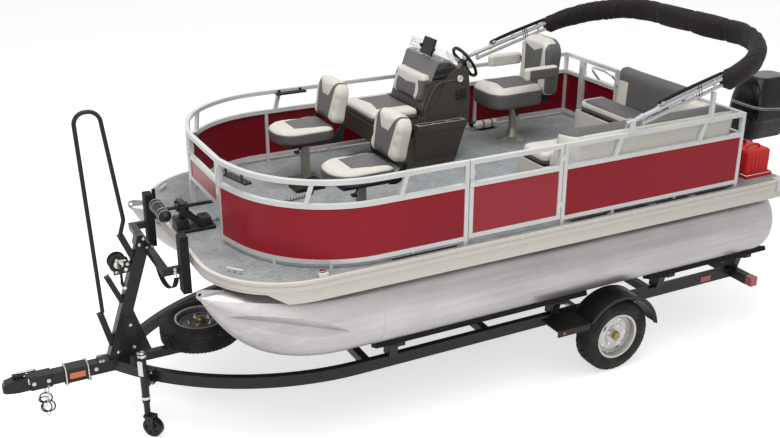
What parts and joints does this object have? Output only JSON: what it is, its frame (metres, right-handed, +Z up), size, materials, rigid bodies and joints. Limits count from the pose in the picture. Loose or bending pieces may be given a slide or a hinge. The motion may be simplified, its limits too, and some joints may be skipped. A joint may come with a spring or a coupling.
{
  "type": "pontoon boat",
  "caption": "Pontoon fishing boat with fenced deck, swivel chairs, side console, rear lounge, folded top and outboard, standing on its single-axle bunk trailer.",
  "frame": {"origin": "on the ground under the middle of the overall length, on the centreline", "axes": "+X towards the bow and the trailer coupler, +Y to port, +Z up"},
  "size_m": [7.2697, 2.4556, 2.5653],
  "materials": {
    "aluminium_tube": "brushed",
    "fence_paint": "satin",
    "panel_red": "satin",
    "rail_cream": "satin",
    "carpet": "matte",
    "seat_vinyl": "satin",
    "seat_base": "satin",
    "console_plastic": "satin",
    "black_metal": "gloss",
    "black_plastic": "satin",
    "cowl_black": "gloss",
    "motor_grey": "satin",
    "boot_cloth": "matte",
    "bunk_carpet": "matte",
    "tyre": "matte",
    "wheel_silver": "satin",
    "galvanised": "satin",
    "chrome": "polished",
    "tank_red": "satin",
    "screen": "clear",
    "lamp_red": "gloss",
    "propeller_grey": "satin"
  },
  "bodies": {
    "base": {"boarding_hoop": "black_metal", "console": "console_plastic", "console_backrest": "seat_vinyl", "coupler": "black_metal", "deck_fittings": "chrome", "deck_floor": "carpet", "deck_frame": "aluminium_tube", "fence_port_bow": "fence_paint", "fence_port_stern": "fence_paint", "fence_starboard": "fence_paint", "fence_stern": "fence_paint", "fuel_tank": "tank_red", "lounge_backrest": "seat_vinyl", "lounge_base": "seat_base", "outboard_clamp": "black_metal", "panel_port": "panel_red", "panel_starboard": "panel_red", "pedal_cord": "black_plastic", "pontoons": "aluminium_tube", "rail_trays": "aluminium_tube", "rub_rail": "rail_cream", "seat_pedestals": "seat_base", "spare_wheel": "tyre", "trailer_axle": "galvanised", "trailer_bunks": "bunk_carpet", "trailer_fenders": "black_metal", "trailer_frame": "black_metal", "trailer_lamps": "lamp_red", "trolling_motor": "black_plastic", "trolling_mount": "black_metal", "winch_post": "black_metal", "windscreen": "screen"},
    "wheel_port": {"trailer_wheel_port": "wheel_silver", "trailer_tyre_port": "tyre"},
    "wheel_starboard": {"trailer_wheel_starboard": "wheel_silver", "trailer_tyre_starboard": "tyre"},
    "jack_leg": {"jack_tube": "black_metal"},
    "jack_swivel": {"jack_caster": "galvanised"},
    "jack_roller": {"jack_wheel": "black_plastic"},
    "motor_tilt": {"outboard_swivel": "motor_grey"},
    "motor": {"outboard_leg": "motor_grey", "outboard_cowl": "cowl_black"},
    "motor_propeller": {"outboard_propeller": "propeller_grey"},
    "helm": {"helm_wheel": "black_plastic"},
    "port_gate": {"gate_port": "fence_paint"},
    "bow_gate": {"gate_bow": "fence_paint"},
    "stern_gate": {"gate_stern": "fence_paint"},
    "port_chair": {"chair_port_seat": "seat_vinyl"},
    "port_chair_back": {"chair_port_back": "seat_vinyl"},
    "starboard_chair": {"chair_starboard_seat": "seat_vinyl"},
    "starboard_chair_back": {"chair_starboard_back": "seat_vinyl"},
    "captain_chair": {"captain_seat": "seat_vinyl"},
    "captain_arms": {"captain_armrests": "seat_vinyl"},
    "console_lid": {"bench_lid": "seat_vinyl"},
    "storage_lid": {"lounge_lid": "seat_vinyl"},
    "well_lid": {"livewell_lid": "seat_vinyl"},
    "folding_top": {"top_frame": "aluminium_tube", "top_boot": "boot_cloth"},
    "ladder": {"boarding_ladder": "aluminium_tube"},
    "bow_propeller": {"trolling_propeller": "black_plastic"}
  },
  "joints": [
    {"name": "wheel_port_spin", "type": "hinge", "parent": "base", "child": "wheel_port", "pos_m": [-0.85, 1.1, 0.305], "axis": [0, 1, 0], "continuous": true},
    {"name": "wheel_starboard_spin", "type": "hinge", "parent": "base", "child": "wheel_starboard", "pos_m": [-0.85, -1.1, 0.305], "axis": [0, 1, 0], "continuous": true},
    {"name": "jack_swing", "type": "hinge", "parent": "base", "child": "jack_leg", "pos_m": [2.72275, 0.35668, 0.445], "axis": [0.7361, 0.6769, 0], "range_deg": [0, 90]},
    {"name": "jack_caster_swivel", "type": "hinge", "parent": "jack_leg", "child": "jack_swivel", "pos_m": [2.72275, 0.35668, 0.165], "axis": [0, 0, 1], "continuous": true},
    {"name": "jack_wheel_spin", "type": "hinge", "parent": "jack_swivel", "child": "jack_roller", "pos_m": [2.69703, 0.38465, 0.075], "axis": [0.7361, 0.6769, 0], "continuous": true},
    {"name": "outboard_tilt", "type": "hinge", "parent": "base", "child": "motor_tilt", "pos_m": [-2.96, 0, 1.345], "axis": [0, 1, 0], "range_deg": [0, 60]},
    {"name": "outboard_steer", "type": "hinge", "parent": "motor_tilt", "child": "motor", "pos_m": [-3.05, 0, 1], "axis": [0, 0, 1], "range_deg": [-30, 30]},
    {"name": "outboard_propeller_spin", "type": "hinge", "parent": "motor", "child": "motor_propeller", "pos_m": [-3.425, 0, 0.72], "axis": [1, 0, 0], "continuous": true},
    {"name": "helm_turn", "type": "hinge", "parent": "base", "child": "helm", "pos_m": [-0.534, -0.75, 2.15], "axis": [-0.848, 0, 0.5299], "range_deg": [-360, 360]},
    {"name": "gate_port_swing", "type": "hinge", "parent": "base", "child": "port_gate", "pos_m": [-0.216, 1.127, 1.6], "axis": [0, 0, -1], "range_deg": [0, 90]},
    {"name": "gate_bow_swing", "type": "hinge", "parent": "base", "child": "bow_gate", "pos_m": [2.04774, -0.332, 1.8], "axis": [0, 0, 1], "range_deg": [0, 90]},
    {"name": "gate_stern_swing", "type": "hinge", "parent": "base", "child": "stern_gate", "pos_m": [-1.907, -0.363, 1.6], "axis": [0, 0, 1], "range_deg": [0, 90]},
    {"name": "chair_port_swivel", "type": "hinge", "parent": "base", "child": "port_chair", "pos_m": [1.055, 0.464, 1.7], "axis": [0, 0, 1], "continuous": true},
    {"name": "chair_port_back_fold", "type": "hinge", "parent": "port_chair", "child": "port_chair_back", "pos_m": [0.82, 0.464, 1.866], "axis": [0, 1, 0], "range_deg": [0, 95]},
    {"name": "chair_starboard_swivel", "type": "hinge", "parent": "base", "child": "starboard_chair", "pos_m": [1.055, -0.588, 1.7], "axis": [0, 0, 1], "continuous": true},
    {"name": "chair_starboard_back_fold", "type": "hinge", "parent": "starboard_chair", "child": "starboard_chair_back", "pos_m": [0.82, -0.588, 1.866], "axis": [0, 1, 0], "range_deg": [0, 95]},
    {"name": "captain_swivel", "type": "hinge", "parent": "base", "child": "captain_chair", "pos_m": [-1.025, -0.7, 1.7], "axis": [0, 0, 1], "continuous": true},
    {"name": "captain_arms_lift", "type": "hinge", "parent": "captain_chair", "child": "captain_arms", "pos_m": [-1.24, -0.7, 2.083], "axis": [0, -1, 0], "range_deg": [0, 85]},
    {"name": "bench_lid_open", "type": "hinge", "parent": "base", "child": "console_lid", "pos_m": [0.097, -0.72, 1.886], "axis": [0, -1, 0], "range_deg": [0, 85]},
    {"name": "lounge_lid_open", "type": "hinge", "parent": "base", "child": "storage_lid", "pos_m": [-0.86, 0.805, 1.791], "axis": [-1, 0, 0], "range_deg": [0, 80]},
    {"name": "livewell_lid_open", "type": "hinge", "parent": "base", "child": "well_lid", "pos_m": [-1.732, 0.24, 1.791], "axis": [0, -1, 0], "range_deg": [0, 80]},
    {"name": "folding_top_swing", "type": "hinge", "parent": "base", "child": "folding_top", "pos_m": [-0.8, 0, 2.08], "axis": [0, 1, 0], "range_deg": [0, 75]},
    {"name": "ladder_swing", "type": "hinge", "parent": "base", "child": "ladder", "pos_m": [-2.472, -0.78, 1.417], "axis": [0, -1, 0], "range_deg": [0, 206]},
    {"name": "trolling_propeller_spin", "type": "hinge", "parent": "base", "child": "bow_propeller", "pos_m": [2.415, -0.145, 1.565], "axis": [0, 1, 0], "continuous": true}
  ],
  "couplings": [
    {"joint": "helm_turn", "follows": "outboard_steer", "ratio": 12}
  ]
}
